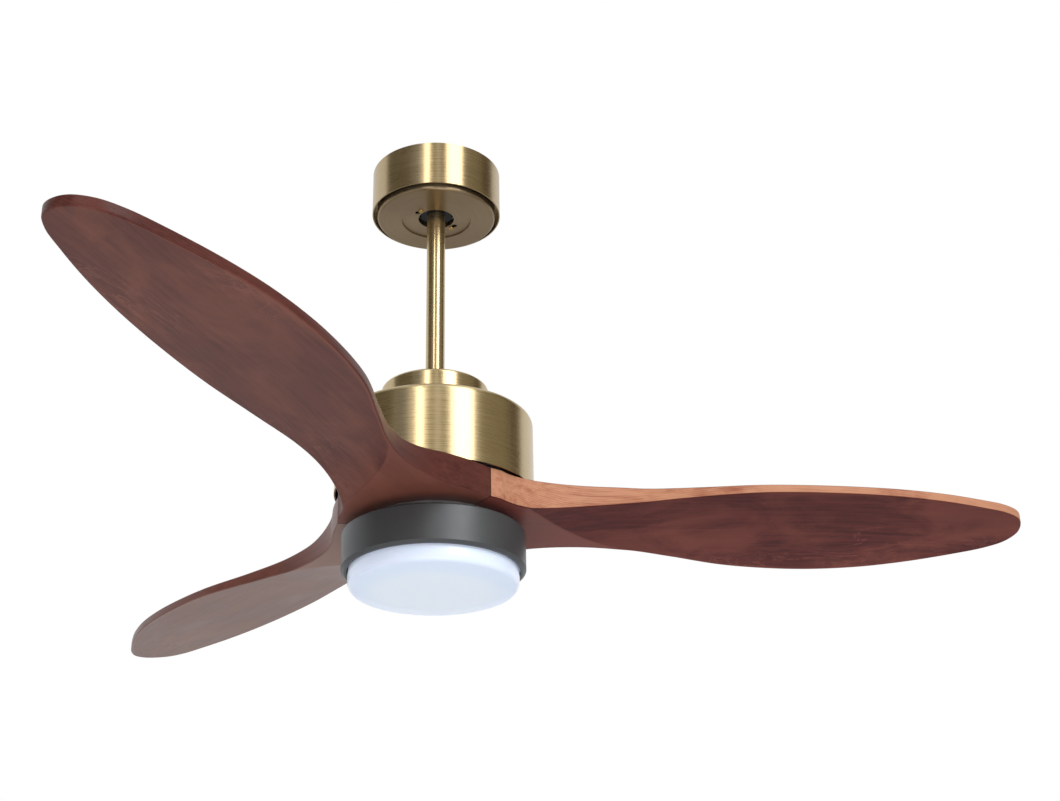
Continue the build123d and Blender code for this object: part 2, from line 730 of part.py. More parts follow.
save("ceiling_bracket", ceiling_bracket())
save("receiver_module", receiver_module())
save("terminal_block", terminal_block())
save("canopy_shell", canopy_shell())
save("canopy_dish", canopy_dish())
save("canopy_screws", *around(canopy_screw(), 2, keyhole_bearing))
save("hanger_ball", hanger_ball())
save("ball_pin", cross_pin(ball_pin_radius, ball_pin_length, ball_centre))
save("downrod", downrod())
save("rod_coupling", rod_coupling())
save("coupling_pin", coupling_pin())
save("coupling_clip", coupling_clip())
save("coupling_set_screws", *coupling_set_screws())
save("coupling_cover", coupling_cover())
save("cover_grommet", cover_grommet())
save("motor_housing", motor_housing())
save("motor_bolts", *motor_bolts())
save("stator_shaft", stator_shaft())
save("stator_core", stator_core())
save("stator_windings", *stator_windings())
save("control_board", control_board())
save("control_posts", *control_posts())
for place, top in (("upper", upper_bearing_top), ("lower", lower_bearing_top)):
    inner, outer, balls = bearing(top)
    save(f"{place}_bearing_inner_race", inner)
    save(f"{place}_bearing_outer_race", outer)
    save(f"{place}_bearing_balls", *balls)
save("rotor_can", rotor_can())
save("rotor_magnets", *rotor_magnets())
save("rotor_base", rotor_base())
for number, wing in enumerate(around(blade(), blade_count), start=1):
    save(f"blade_{number}", wing)
save("blade_plate", blade_plate())
save("blade_bolts", *blade_bolts())
save("light_pan", light_pan())
save("light_nut", light_nut())
save("led_board", led_board())
save("led_chips", *led_chips())
save("led_posts", *led_posts())
save("led_screws", *led_screws())
save("led_driver", led_driver())
save("diffuser", diffuser())
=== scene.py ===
"""Looks of a ceiling fan with carved wooden blades, brushed brass metalwork and a drum light."""

import logging
import math
from dataclasses import dataclass, field
from enum import Enum
from typing import Any, Callable, Sequence

import bmesh
import bpy
import numpy as np
from mathutils import Matrix, Vector


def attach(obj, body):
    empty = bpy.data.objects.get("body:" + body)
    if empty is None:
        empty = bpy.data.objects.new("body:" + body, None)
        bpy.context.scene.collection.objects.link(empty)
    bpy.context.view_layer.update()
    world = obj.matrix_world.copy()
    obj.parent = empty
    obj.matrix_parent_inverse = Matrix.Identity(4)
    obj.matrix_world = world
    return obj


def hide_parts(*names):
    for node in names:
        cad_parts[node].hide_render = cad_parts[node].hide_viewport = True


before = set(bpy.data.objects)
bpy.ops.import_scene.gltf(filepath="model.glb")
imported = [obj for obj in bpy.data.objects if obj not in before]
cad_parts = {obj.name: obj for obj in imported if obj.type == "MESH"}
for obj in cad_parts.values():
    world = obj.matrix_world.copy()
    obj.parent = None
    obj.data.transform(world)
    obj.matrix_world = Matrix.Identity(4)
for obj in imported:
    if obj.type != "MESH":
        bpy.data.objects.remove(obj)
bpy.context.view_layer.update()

log = logging.getLogger("ceiling_fan")
MM = 0.001
Colour = tuple[float, float, float]


# ------------------------------------------------------------------ shader expressions
class Value:
    """A shader socket that can be used in arithmetic."""

    def __init__(self, graph: "Graph", socket: bpy.types.NodeSocket) -> None:
        """Args: graph is the material being built, socket the output it stands for."""
        self.graph = graph
        self.socket = socket

    def _math(self, operation: str, *inputs: "Value | float") -> "Value":
        """Returns the result of one Math node."""
        return self.graph.node("ShaderNodeMath", {"operation": operation}, dict(enumerate(inputs)))

    def __add__(self, other: "Value | float") -> "Value":
        """Sum."""
        return self._math("ADD", self, other)

    __radd__ = __add__

    def __sub__(self, other: "Value | float") -> "Value":
        """Difference."""
        return self._math("SUBTRACT", self, other)

    def __rsub__(self, other: float) -> "Value":
        """Reflected difference."""
        return self._math("SUBTRACT", other, self)

    def __mul__(self, other: "Value | float") -> "Value":
        """Product."""
        return self._math("MULTIPLY", self, other)

    __rmul__ = __mul__

    def sine(self) -> "Value":
        """Sine of a value in radians."""
        return self._math("SINE", self)

    def root(self) -> "Value":
        """Square root."""
        return self._math("SQRT", self)

    def size(self) -> "Value":
        """Absolute value."""
        return self._math("ABSOLUTE", self)

    def either(self, other: "Value") -> "Value":
        """The larger of two values."""
        return self._math("MAXIMUM", self, other)

    def ease(self, low: float, high: float, start: float = 0.0, end: float = 1.0) -> "Value":
        """A smooth step of this value from low to high.

        Args:
            low, high: the value's range.
            start, end: what comes out at each end.

        Returns:
            The eased value.
        """
        settings = {"interpolation_type": "SMOOTHSTEP"}
        return self.graph.node("ShaderNodeMapRange", settings, {
            "Value": self, "From Min": low, "From Max": high, "To Min": start, "To Max": end})


class Graph:
    """One procedural material and the nodes in it."""

    def __init__(self, name: str) -> None:
        """Args: name is the material's name."""
        self.material = bpy.data.materials.new(name)
        self.material.use_nodes = True
        self.tree = self.material.node_tree
        self.shader = self.tree.nodes["Principled BSDF"]

    def put(self, target: bpy.types.NodeSocket, source: Any) -> None:
        """Sets a socket to a number, colour or vector, or links it to a value."""
        if isinstance(source, Value):
            self.tree.links.new(source.socket, target)
        elif isinstance(source, (tuple, list)) and target.type == "RGBA" and len(source) == 3:
            target.default_value = (*source, 1.0)
        else:
            target.default_value = source

    def node(self, kind: str, settings: dict[str, Any], values: dict[int | str, Any],
             out: int | str = 0) -> Value:
        """Adds one node.

        Args:
            kind: the node's type.
            settings: its properties, such as a Math node's operation.
            values: numbers, colours or Values by input name or index.
            out: the output that the result stands for.

        Returns:
            The chosen output.
        """
        made = self.tree.nodes.new(kind)
        for key, setting in settings.items():
            setattr(made, key, setting)
        for key, value in values.items():
            self.put(made.inputs[key], value)
        return Value(self, made.outputs[out])

    def place(self) -> Value:
        """Returns the piece's own coordinates, in metres."""
        return self.node("ShaderNodeTexCoord", {}, {}, "Object")

    def parts(self, vector: Value) -> tuple[Value, Value, Value]:
        """Returns the three parts of a vector."""
        split = self.node("ShaderNodeSeparateXYZ", {}, {0: vector}).socket.node
        return tuple(Value(self, part) for part in split.outputs)

    def vector(self, x: Any, y: Any, z: Any) -> Value:
        """Returns a vector of three values."""
        return self.node("ShaderNodeCombineXYZ", {}, {0: x, 1: y, 2: z})

    def noise(self, vector: Value, scale: float, detail: float = 3.0, roughness: float = 0.55,
              distortion: float = 0.0) -> Value:
        """Returns smooth noise from 0 to 1 at a vector."""
        return self.node("ShaderNodeTexNoise", {"noise_dimensions": "3D"}, {
            "Vector": vector, "Scale": scale, "Detail": detail, "Roughness": roughness,
            "Distortion": distortion})

    def mix(self, factor: Value, first: Value | Colour, second: Value | Colour) -> Value:
        """Returns a mix of two colours."""
        inputs = {0: factor, 6: first, 7: second}
        return self.node("ShaderNodeMix", {"data_type": "RGBA"}, inputs, 2)

    def bump(self, height: Value, strength: float, distance: float) -> None:
        """Feeds a height into the shader's normal."""
        normal = self.node("ShaderNodeBump", {}, {
            "Height": height, "Strength": strength, "Distance": distance})
        self.put(self.shader.inputs["Normal"], normal)

    def set(self, **values: Any) -> None:
        """Sets shader inputs, named with underscores for spaces."""
        for key, value in values.items():
            self.put(self.shader.inputs[key.replace("_", " ")], value)


class Sky(Graph):
    """The world's nodes."""

    def __init__(self, name: str) -> None:
        """Args: name is the world's name."""
        self.world = bpy.data.worlds.new(name)
        self.world.use_nodes = True
        self.tree = self.world.node_tree
        self.shader = self.tree.nodes["Background"]


# ------------------------------------------------------------------ finishes
@dataclass(frozen=True)
class BrushedBrass:
    """Lacquered antique brass, brushed or turned about the fan's axis."""

    name: str = "antique_brass"
    pale: Colour = (0.57, 0.45, 0.26)
    dark: Colour = (0.43, 0.33, 0.175)
    roughness: float = 0.285
    lines_per_metre: float = 2600.0
    bands_per_metre: float = 700.0
    along: float = 22.0
    along_bands: float = 16.0
    anisotropy: float = 0.85

    def make(self) -> bpy.types.Material:
        """Returns the material."""
        g = Graph(self.name)
        x, y, z = g.parts(g.place())
        radius = (x * x + y * y).root()
        across = z + radius
        lines = g.vector(x * self.along, y * self.along, across * self.lines_per_metre)
        bands = g.vector(x * self.along_bands, y * self.along_bands,
                         across * self.bands_per_metre)
        fine = g.noise(lines, 1.0, detail=2.0, roughness=0.7)
        broad = g.noise(bands, 1.0, detail=2.0)
        cloud = g.noise(g.place(), 14.0, detail=3.0)
        tone = fine * 0.55 + broad * 0.2 + cloud * 0.25
        colour = g.mix(tone.ease(0.25, 0.75), self.dark, self.pale)
        g.set(Base_Color=colour, Metallic=1.0, Anisotropic=self.anisotropy,
              Anisotropic_Rotation=0.25,
              Roughness=tone.ease(0.2, 0.8, self.roughness - 0.07, self.roughness + 0.08),
              Coat_Weight=0.05, Coat_Roughness=0.15)
        g.bump(fine, 0.025, 0.0002)
        return g.material


@dataclass(frozen=True)
class SatinPaint:
    """Satin metallic paint with a faint fleck."""

    name: str
    colour: Colour
    fleck: Colour
    roughness: float = 0.42
    metallic: float = 0.55

    def make(self) -> bpy.types.Material:
        """Returns the material."""
        g = Graph(self.name)
        grains = g.noise(g.place(), 5200.0, detail=1.0)
        cloud = g.noise(g.place(), 22.0, detail=3.0)
        colour = g.mix(grains.ease(0.42, 0.75), self.colour, self.fleck)
        rough = cloud.ease(0.3, 0.7, self.roughness - 0.03, self.roughness + 0.04)
        g.set(Base_Color=colour, Metallic=self.metallic, Roughness=rough)
        g.bump(grains, 0.05, 0.0001)
        return g.material


@dataclass(frozen=True)
class Plain:
    """A moulded, cast, plated or ground surface with slight mottling and fine texture."""

    name: str
    colour: Colour
    roughness: float = 0.4
    metallic: float = 0.0
    grain: float = 900.0
    depth: float = 0.08
    spread: float = 0.12
    coat: float = 0.0
    shine: float = 0.5

    def make(self) -> bpy.types.Material:
        """Returns the material."""
        g = Graph(self.name)
        texture = g.noise(g.place(), self.grain, detail=2.0)
        cloud = g.noise(g.place(), 35.0, detail=3.0)
        low = tuple(c * (1 - self.spread) for c in self.colour)
        high = tuple(min(1.0, c * (1 + self.spread)) for c in self.colour)
        g.set(Base_Color=g.mix(cloud.ease(0.3, 0.7), low, high), Metallic=self.metallic,
              Roughness=cloud.ease(0.3, 0.7, self.roughness - 0.04, self.roughness + 0.05),
              Coat_Weight=self.coat, Specular_IOR_Level=self.shine)
        g.bump(texture, self.depth, 0.0002)
        return g.material


@dataclass(frozen=True)
class Opal:
    """Satin opal plastic of the light's diffuser, with a painted glow and painted shade towards
    its rim.
    """

    name: str = "opal"
    middle: Colour = (0.80, 0.84, 0.93)
    rim: Colour = (0.70, 0.77, 0.92)

    def make(self) -> bpy.types.Material:
        """Returns the material."""
        g = Graph(self.name)
        x, y, _ = g.parts(g.place())
        radius = (x * x + y * y).root()
        cloud = g.noise(g.place(), 12.0, detail=2.0)
        # painted shade: darker and bluer towards the rim than in the middle
        colour = g.mix((radius + cloud * 0.01).ease(0.05, 0.09), self.middle, self.rim)
        # painted glow: emission of the same colour makes the diffuser shine faintly, though no
        # lamp is lit inside it
        g.set(Base_Color=colour, Roughness=cloud.ease(0.3, 0.7, 0.28, 0.34),
              Subsurface_Weight=0.2, Subsurface_Scale=0.01, Coat_Weight=0.25, Coat_Roughness=0.08,
              Emission_Color=colour, Emission_Strength=0.16)
        g.bump(g.noise(g.place(), 700.0), 0.02, 0.0001)
        return g.material


@dataclass(frozen=True)
class Tone:
    """The colours that one blade's timber takes under the stain. The pale tone also lightens
    almost flat faces as painted light.
    """

    stain: Colour
    deep: Colour
    bloom_and_lit_face: Colour
    edge: Colour
    edge_dark: Colour
    shine: float = 0.12


class Timber(Enum):
    """The three boards that the blades are carved from. The orange heart's pale edge colours and
    the grey-brown's paler, greyer tones are partly painted light.
    """

    # The pale orange-tan edge colours here are partly painted light, for the blade edge that faces
    # the lamps.
    ORANGE_HEART_LIT_EDGE = Tone((0.132, 0.026, 0.022), (0.056, 0.010, 0.010), (0.245, 0.070, 0.052),
                        (0.50, 0.240, 0.140), (0.29, 0.095, 0.055), 0.10)
    # This timber's paler, greyer tones are partly painted light: the glare and light on the blade
    # seen at a glancing angle.
    GREY_BROWN_AND_GLARE = Tone((0.215, 0.105, 0.078), (0.130, 0.056, 0.042), (0.320, 0.190, 0.150),
                      (0.145, 0.046, 0.033), (0.080, 0.022, 0.016), 0.30)
    RED_BROWN = Tone((0.140, 0.040, 0.029), (0.082, 0.023, 0.018), (0.225, 0.083, 0.058),
                     (0.105, 0.032, 0.025), (0.062, 0.017, 0.014), 0.12)


@dataclass(frozen=True)
class StainedWood:
    """Dark stained walnut. Its grain follows the blade, and the edges take the timber's edge
    colours, paler on one timber partly as painted light. Faces that lie almost flat are lightened
    as painted light.
    """

    name: str
    seed: float
    timber: Timber
    heading: float
    seam_angle: float = math.pi / 3
    seam_line: tuple[float, float] = (0.0002, 0.0011)
    seam_colour: Colour = (0.012, 0.005, 0.004)
    grain_lines: float = 190.0
    pore_lines: float = 1400.0
    ring_turns: float = 1500.0

    def make(self) -> bpy.types.Material:
        """Returns the material."""
        g = Graph(self.name)
        tone = self.timber.value
        east, north, z = g.parts(g.place())
        x = east * math.cos(self.heading) + north * math.sin(self.heading)
        y = north * math.cos(self.heading) - east * math.sin(self.heading)
        u = x + self.seed
        warp = g.noise(g.vector(u * 2.0, y * 5.0, z * 5.0), 1.0, detail=2.0)
        grain_at = g.vector(u * 9.0, (y + warp * 0.05) * self.grain_lines, z * self.grain_lines)
        grain = g.noise(grain_at, 1.0, detail=4.0, roughness=0.65)
        pores_at = g.vector(u * 90.0, y * self.pore_lines, z * self.pore_lines)
        pores = g.noise(pores_at, 1.0, detail=2.0)
        cloud = g.noise(g.vector(u * 9.0, y * 15.0, z * 15.0), 1.0, detail=5.0, roughness=0.62,
                        distortion=0.6)
        patch = g.noise(g.vector(u * 3.0 + 4.0, y * 5.0, z * 5.0), 1.0, detail=2.0)
        vein_at = g.vector(u * 5.0 + y * 9.0, y * 16.0 - u * 3.0, z * 10.0)
        vein = (g.noise(vein_at, 1.0, detail=6.0, roughness=0.7, distortion=1.2) - 0.5).size()
        rings = ((y * 0.8 + z * 1.6 + warp * 0.10) * self.ring_turns).sine() * 0.5 + 0.5
        body = g.mix(grain.ease(0.28, 0.72), tone.deep, tone.stain)
        body = g.mix(cloud.ease(0.40, 0.70, 0.0, 0.70), body, tone.bloom_and_lit_face)
        body = g.mix(vein.ease(0.0, 0.018, 0.6, 0.0) * patch.ease(0.50, 0.60), body, tone.bloom_and_lit_face)
        body = g.mix(patch.ease(0.3, 0.7, 0.45, 0.0), body, tone.deep)
        side = g.mix((grain * 0.45 + rings * 0.06 + cloud * 0.49).ease(0.32, 0.60),
                     tone.edge_dark, tone.edge)
        normal = g.node("ShaderNodeNewGeometry", {}, {}, "Normal")
        upright = g.parts(normal)[2].size()
        # painted light: faces that lie almost flat, such as the hub's facets, are lightened
        # towards the pale tone
        body = g.mix(upright.ease(0.985, 0.998, 0.0, 0.55), body, tone.bloom_and_lit_face)
        colour = g.mix(upright.ease(0.35, 0.7), side, body)
        off_seam = x * math.sin(self.seam_angle) - y.size() * math.cos(self.seam_angle)
        colour = g.mix(off_seam.ease(*self.seam_line, 0.85, 0.0), colour, self.seam_colour)
        g.set(Base_Color=colour, Roughness=cloud.ease(0.3, 0.7, 0.34, 0.44),
              Specular_IOR_Level=tone.shine)
        g.bump(grain * 0.6 + pores * 0.4, 0.12, 0.0003)
        return g.material


# ------------------------------------------------------------------ meshes
def smooth_through(points: Sequence[tuple[float, float]], samples: int) -> np.ndarray:
    """A smooth line through points.

    Args:
        points: the points that the line passes through.
        samples: how many points to give back.

    Returns:
        The line's points, evenly spread by length.
    """
    p = np.array(points, float)
    step = np.sqrt(np.hypot(*np.diff(p, axis=0).T))
    knots = np.concatenate([[0.0], np.cumsum(step)])
    slopes = np.gradient(p, knots, axis=0, edge_order=2)
    fine = np.linspace(0, knots[-1], samples * 8)
    index = np.clip(np.searchsorted(knots, fine) - 1, 0, len(knots) - 2)
    h = (knots[index + 1] - knots[index])[:, None]
    t = (fine - knots[index])[:, None] / h
    line = ((2 * t**3 - 3 * t**2 + 1) * p[index] + (t**3 - 2 * t**2 + t) * h * slopes[index]
            + (3 * t**2 - 2 * t**3) * p[index + 1] + (t**3 - t**2) * h * slopes[index + 1])
    run = np.concatenate([[0.0], np.cumsum(np.hypot(*np.diff(line, axis=0).T))])
    even = np.linspace(0, run[-1], samples)
    return np.stack([np.interp(even, run, line[:, i]) for i in range(2)], axis=1)


def new_piece(name: str, mesh: bpy.types.Mesh, material: bpy.types.Material) -> bpy.types.Object:
    """Returns an object in the scene that shows a mesh in one material."""
    piece = bpy.data.objects.new(name, mesh)
    bpy.context.scene.collection.objects.link(piece)
    mesh.materials.append(material)
    return piece


@dataclass
class Blade:
    """One carved blade. Sizes are in millimetres, along +X, above the hub's underside."""

    number: int
    count: int = 3
    underside: float = -439.6
    thickness: float = 32.8
    corner: float = 51.3
    rear_flat: float = 14.5
    seam_gap: float = 0.12
    bore: float = 24.0
    slope: float = 0.165
    blank_rise: float = 0.02
    edge_round: float = 1.5
    crease: float = 0.35
    crown_crease: float = 1.0
    edge_steps: int = 4
    root_steps: int = 6
    sharp_angle: float = 40.0
    tip: tuple[float, float] = (660.0, 14.0)
    front: tuple[tuple[float, float], ...] = (
        (82, 76), (115, 60), (165, 52), (215, 57), (270, 74), (340, 96),
        (420, 104), (490, 99), (545, 86), (600, 66), (634, 50), (652, 35))
    rear: tuple[tuple[float, float], ...] = (
        (79, -68.3), (98, -58.5), (130, -49), (170, -43.5), (215, -44), (280, -53), (350, -61),
        (420, -61.5), (490, -57), (550, -48), (600, -36), (632, -26), (652, -12))
    scoop: tuple[tuple[float, float], ...] = (
        (40, -30), (70, -17), (126, -3), (190, 7), (300, 14), (450, 18), (700, 22))
    crown: tuple[tuple[float, float], ...] = (
        (40, 66), (90, 48), (158, 31.7), (200, 27.5), (260, 25), (356, 25.6),
        (450, 27.3), (580, 30.5), (700, 32.5))
    rows: int = 250
    columns: int = 64
    flat_rows: int = 6
    plan_scale: float = 0.9998
    lines: dict[str, np.ndarray] = field(default_factory=dict)

    def __post_init__(self) -> None:
        """Samples the two side profiles."""
        for name in ("scoop", "crown"):
            self.lines[name] = smooth_through(getattr(self, name), 400)

    def under(self, u: np.ndarray, v: np.ndarray) -> np.ndarray:
        """Returns the height of the carved underside."""
        line = self.lines["scoop"]
        carved = np.interp(u, line[:, 0], line[:, 1]) - self.slope * v
        return 0.5 * (carved + np.sqrt(carved**2 + self.crease**2))

    def over(self, u: np.ndarray, v: np.ndarray) -> np.ndarray:
        """Returns the height of the upper face."""
        line = self.lines["crown"]
        carved = np.interp(u, line[:, 0], line[:, 1]) - self.slope * v
        board = self.thickness + self.blank_rise * np.maximum(u - 2 * self.corner, 0)
        gap = carved - board
        return board + 0.5 * (gap - np.sqrt(gap**2 + self.crown_crease**2))

    def outline(self) -> np.ndarray:
        """Returns the plan outline from the rear root corner, round the tip, to the front one."""
        half = math.pi / self.count
        side = self.corner * math.tan(half)
        root = np.array([self.corner, -side])
        flat_end = root + self.rear_flat * np.array([math.sin(half), math.cos(half)])
        front = [*reversed(self.front), (self.corner, side)]
        whole = smooth_through([tuple(flat_end), *self.rear, self.tip, *front], 4 * self.rows)
        whole[:, 0] = np.minimum(whole[:, 0], self.tip[0])
        whole *= self.plan_scale
        middle = int(np.argmax(whole[:, 0]))
        flat = root + (flat_end - root) * np.linspace(0, 1, self.flat_rows + 1)[:-1, None]
        rear = self.resample(whole[: middle + 1], self.rows + 1 - self.flat_rows)
        return np.concatenate([flat, rear, self.resample(whole[middle:], self.rows + 1)[1:]])

    @staticmethod
    def resample(line: np.ndarray, count: int) -> np.ndarray:
        """Returns a line cut into equal steps."""
        run = np.concatenate([[0.0], np.cumsum(np.hypot(*np.diff(line, axis=0).T))])
        even = np.linspace(0, run[-1], count)
        return np.stack([np.interp(even, run, line[:, i]) for i in range(2)], axis=1)

    def mesh(self) -> bpy.types.Mesh:
        """Returns the blade's mesh, in metres."""
        edge = self.outline()
        step = np.diff(edge, axis=0)
        step /= np.hypot(*step.T)[:, None]
        tangent = np.concatenate([step[:1], step[:-1] + step[1:], step[-1:]])
        tangent /= np.hypot(*tangent.T)[:, None]
        inward = np.stack([-tangent[:, 1], tangent[:, 0]], axis=1)
        inset = edge + inward * self.edge_round
        low, high = self.under(*inset.T), self.over(*inset.T)
        n = self.rows
        vertices: list[tuple[float, float, float]] = []
        faces: list[tuple[int, ...]] = []

        def add(points: np.ndarray, heights: np.ndarray) -> list[int]:
            """Adds a row of vertices and returns their numbers."""
            first = len(vertices)
            vertices.extend((float(p[0]), float(p[1]), float(h)) for p, h in zip(points, heights))
            return list(range(first, len(vertices)))

        def surface(height: Callable[[np.ndarray, np.ndarray], np.ndarray],
                    rim: list[int], upward: bool) -> list[list[int]]:
            """Fills one face between its rim's two sides and returns its rows."""
            rows = []
            share = np.linspace(0, 1, self.columns + 1)[1:-1, None]
            for i in range(1, n + 1):
                a, b = inset[n - i], inset[n + i]
                between = a + (b - a) * share
                rows.append([rim[n - i], *add(between, height(*between.T)), rim[n + i]])
            for j in range(self.columns):
                tri = (rim[n], rows[0][j], rows[0][j + 1])
                faces.append(tri if upward else tri[::-1])
            for upper, lower in zip(rows, rows[1:]):
                for j in range(self.columns):
                    quad = (upper[j], lower[j], lower[j + 1], upper[j + 1])
                    faces.append(quad if upward else quad[::-1])
            return rows

        turn = np.linspace(0, math.pi / 2, self.edge_steps + 1)
        rims = []
        for angle in turn:
            off = inset + (edge - inset) * math.sin(angle)
            rims.append(add(off, low + self.edge_round * (1 - math.cos(angle))))
        for angle in turn[::-1]:
            off = inset + (edge - inset) * math.sin(angle)
            rims.append(add(off, high - self.edge_round * (1 - math.cos(angle))))
        for lower, upper in zip(rims, rims[1:]):
            for k in range(2 * n):
                faces.append((lower[k], lower[k + 1], upper[k + 1], upper[k]))
        under_rows = surface(self.under, rims[0], False)
        over_rows = surface(self.over, rims[-1], True)
        self.root(vertices, faces, add, under_rows[-1], over_rows[-1],
                  [r[0] for r in rims], [r[-1] for r in rims])
        mesh = bpy.data.meshes.new(f"blade_{self.number}_carved")
        points = [(x * MM, y * MM, (z + self.underside) * MM) for x, y, z in vertices]
        mesh.from_pydata(points, [], faces)
        mesh.validate()
        tidy = bmesh.new()
        tidy.from_mesh(mesh)
        bmesh.ops.recalc_face_normals(tidy, faces=tidy.faces)
        corner = {row[self.flat_rows] for row in rims}
        for face in tidy.faces:
            face.smooth = True
        for edge_line in tidy.edges:
            turned = edge_line.calc_face_angle(0.0) > math.radians(self.sharp_angle)
            at_corner = all(end.index in corner for end in edge_line.verts)
            edge_line.smooth = not (turned or at_corner)
        tidy.to_mesh(mesh)
        tidy.free()
        return mesh

    def root(self, vertices: list[tuple[float, float, float]], faces: list[tuple[int, ...]],
             add: Callable[[np.ndarray, np.ndarray], list[int]], under: list[int],
             over: list[int], rear: list[int], front: list[int]) -> None:
        """Closes the root wedge: its two seam faces, the bore and the flat faces between them.

        Args:
            vertices, faces: the lists being filled.
            add: adds a row of vertices.
            under, over: the last rows of the underside and the upper face.
            rear, front: the root ends of the rounded edges, from the underside up.
        """
        half = math.pi / self.count - self.seam_gap / self.corner / 2
        steps = self.root_steps
        rows_low, rows_high = [under], [over]
        count = len(under)
        start = np.array([vertices[i][:2] for i in under])
        angles = np.linspace(-half, half, count)
        end = self.bore * np.stack([np.cos(angles), np.sin(angles)], axis=1)
        for step in range(1, steps + 1):
            row = start + (end - start) * step / steps
            heights = np.array([vertices[i][2] for i in under])
            rows_low.append(add(row, heights * (1 - step / steps)))
            rows_high.append(add(row, np.full(count, vertices[over[0]][2])))
        for rows, upward in ((rows_low, False), (rows_high, True)):
            for upper, lower in zip(rows, rows[1:]):
                for j in range(count - 1):
                    quad = (upper[j], lower[j], lower[j + 1], upper[j + 1])
                    faces.append(quad if upward else quad[::-1])
        for side, edge in ((0, rear), (-1, front)):
            low_line = [row[side] for row in rows_low]
            high_line = [row[side] for row in rows_high]
            faces.append((*low_line, *reversed(high_line), *reversed(edge[1:-1])))
        low, high = rows_low[-1], rows_high[-1]
        for j in range(count - 1):
            faces.append((low[j], high[j], high[j + 1], low[j + 1]))

    def build(self, finish: StainedWood) -> bpy.types.Object:
        """Returns the blade, turned to its finish's heading and riding on the rotor."""
        name = f"blade_{self.number}"
        piece = new_piece(f"{name}_carved", self.mesh(), finish.make())
        piece.data.transform(Matrix.Rotation(finish.heading, 4, "Z"))
        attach(piece, "rotor")
        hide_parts(name)
        return piece


# ------------------------------------------------------------------ the CAD pieces' finishes
class Look(Enum):
    """The finishes of the pieces that keep their CAD shape."""

    BRASS = BrushedBrass()
    BRONZE = BrushedBrass("canopy_brass", (0.50, 0.39, 0.225), (0.36, 0.27, 0.145))
    # painted shade: a darker copy of the brass, so that the dish's underside reads dark as it does
    # in shade
    SHADED_DISH = BrushedBrass("shaded_dish_brass", (0.34, 0.255, 0.155), (0.235, 0.17, 0.095), roughness=0.36)
    SCREW_BRASS = Plain("turned_brass", (0.60, 0.42, 0.16), 0.28, 1.0)
    ZINC = Plain("zinc_plate", (0.55, 0.56, 0.58), 0.35, 1.0)
    BLACK = Plain("black_plastic", (0.005, 0.005, 0.006), 0.14, shine=0.14)
    RUBBER = Plain("black_rubber", (0.02, 0.02, 0.02), 0.6)
    WHITE = Plain("white_plastic", (0.75, 0.75, 0.72), 0.45)
    STACK = Plain("laminated_steel", (0.28, 0.29, 0.31), 0.45, 0.9, grain=1500.0)
    COPPER = Plain("enamelled_copper", (0.55, 0.20, 0.07), 0.3, 0.9, grain=2500.0, depth=0.2)
    BOARD = Plain("circuit_board", (0.02, 0.12, 0.05), 0.4)
    GROUND = Plain("ground_steel", (0.62, 0.63, 0.65), 0.15, 1.0)
    CAST = Plain("cast_aluminium", (0.58, 0.58, 0.60), 0.5, 0.9, grain=600.0, depth=0.2)
    MAGNET = Plain("sintered_magnet", (0.12, 0.12, 0.13), 0.5, 0.5)
    GUNMETAL = SatinPaint("gunmetal_paint", (0.070, 0.074, 0.078), (0.12, 0.125, 0.13))
    MASK = Plain("white_board", (0.80, 0.80, 0.80), 0.5)
    PHOSPHOR = Plain("phosphor", (0.80, 0.66, 0.15), 0.35, coat=0.3)
    OPAL = Opal()


LOOKS: dict[Look, tuple[str, ...]] = {
    Look.BRASS: ("downrod", "coupling_cover", "motor_housing"),
    Look.BRONZE: ("canopy_shell",),
    Look.SHADED_DISH: ("canopy_dish",),
    Look.SCREW_BRASS: ("canopy_screws",),
    Look.ZINC: ("ball_pin", "rod_coupling", "coupling_pin", "coupling_clip",
                "coupling_set_screws", "motor_bolts", "stator_shaft", "blade_plate",
                "blade_bolts", "light_nut", "led_posts", "led_screws", "control_posts"),
    Look.BLACK: ("ceiling_bracket", "hanger_ball", "receiver_module"),
    Look.RUBBER: ("cover_grommet",),
    Look.WHITE: ("terminal_block", "led_driver"),
    Look.STACK: ("stator_core",),
    Look.COPPER: ("stator_windings",),
    Look.BOARD: ("control_board",),
    Look.GROUND: tuple(f"{end}_bearing_{part}" for end in ("upper", "lower")
                       for part in ("inner_race", "outer_race", "balls")),
    Look.CAST: ("rotor_can", "rotor_base"),
    Look.MAGNET: ("rotor_magnets",),
    Look.GUNMETAL: ("light_pan",),
    Look.MASK: ("led_board",),
    Look.PHOSPHOR: ("led_chips",),
    Look.OPAL: ("diffuser",),
}


def dress_cad_nodes() -> None:
    """Gives every CAD node its finish and smooth shading with sharp edges."""
    for look, names in LOOKS.items():
        material = look.value.make()
        for name in names:
            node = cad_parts[name]
            node.data.materials.clear()
            node.data.materials.append(material)
            node.data.shade_smooth()
            node.data.set_sharp_from_angle(angle=math.radians(25))
            log.info("dressed %s in %s", name, material.name)


# ------------------------------------------------------------------ studio
@dataclass(frozen=True)
class SoftBox:
    """One lamp. Its bearing is to the right of the camera's side, seen from the fan."""

    name: str
    bearing: float
    rise: float
    distance: float
    size: tuple[float, float]
    power: float
    tint: Colour = (1.0, 1.0, 1.0)


@dataclass(frozen=True)
class Card:
    """One toned card that only reflections see, to shape the bands on the metal."""

    name: str
    bearing: float
    distance: float
    width: float
    shade: Colour
    rise: float = 25.0
    height: float = 3.8


